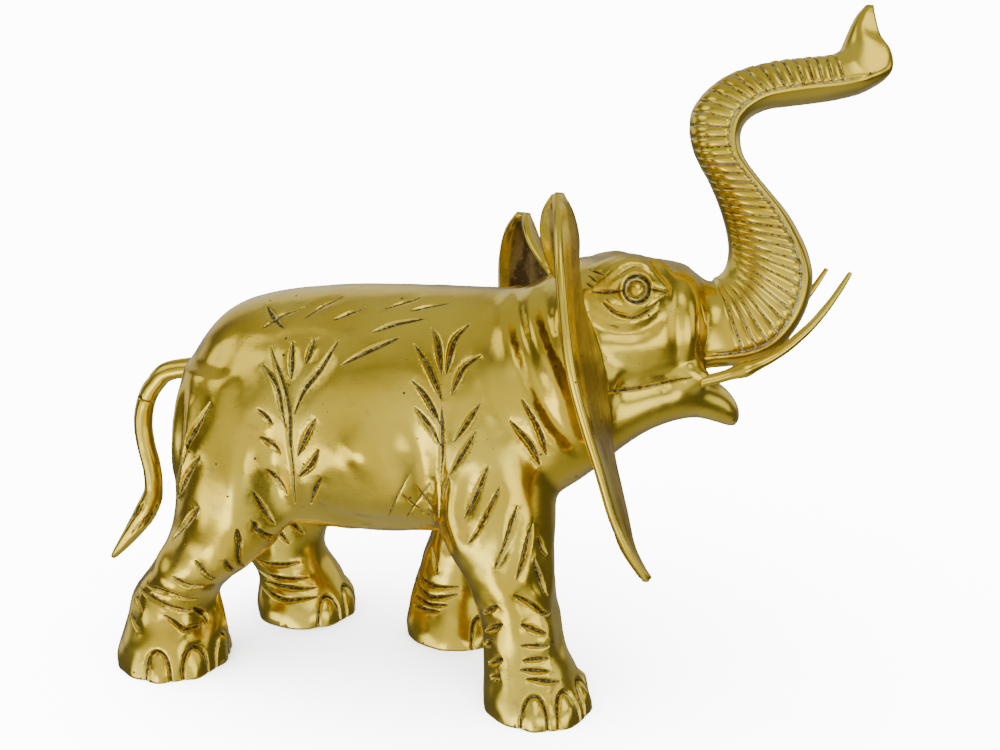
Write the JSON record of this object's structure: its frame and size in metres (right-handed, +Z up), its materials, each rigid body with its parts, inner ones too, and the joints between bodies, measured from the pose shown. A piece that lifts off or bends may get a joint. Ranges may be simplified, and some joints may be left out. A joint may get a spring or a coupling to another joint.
{
  "type": "elephant sculpture",
  "caption": "Polished cast brass elephant figure walking with its trunk raised, ears spread and tusks forward, with chased leaf and wrinkle strokes; stands on its feet as an ornament.",
  "frame": {"origin": "on the floor, under the middle of the figure's outline seen from above", "axes": "+X along the body towards the head and trunk, +Y to the animal's left, +Z up"},
  "size_m": [0.3702, 0.1564, 0.3096],
  "materials": {
    "polished_brass": "polished, dark tarnish in the chased grooves"
  },
  "bodies": {
    "root": {"elephant_body": "polished_brass", "tail": "polished_brass", "tusk_right": "polished_brass", "tusk_left": "polished_brass"}
  },
  "joints": []
}
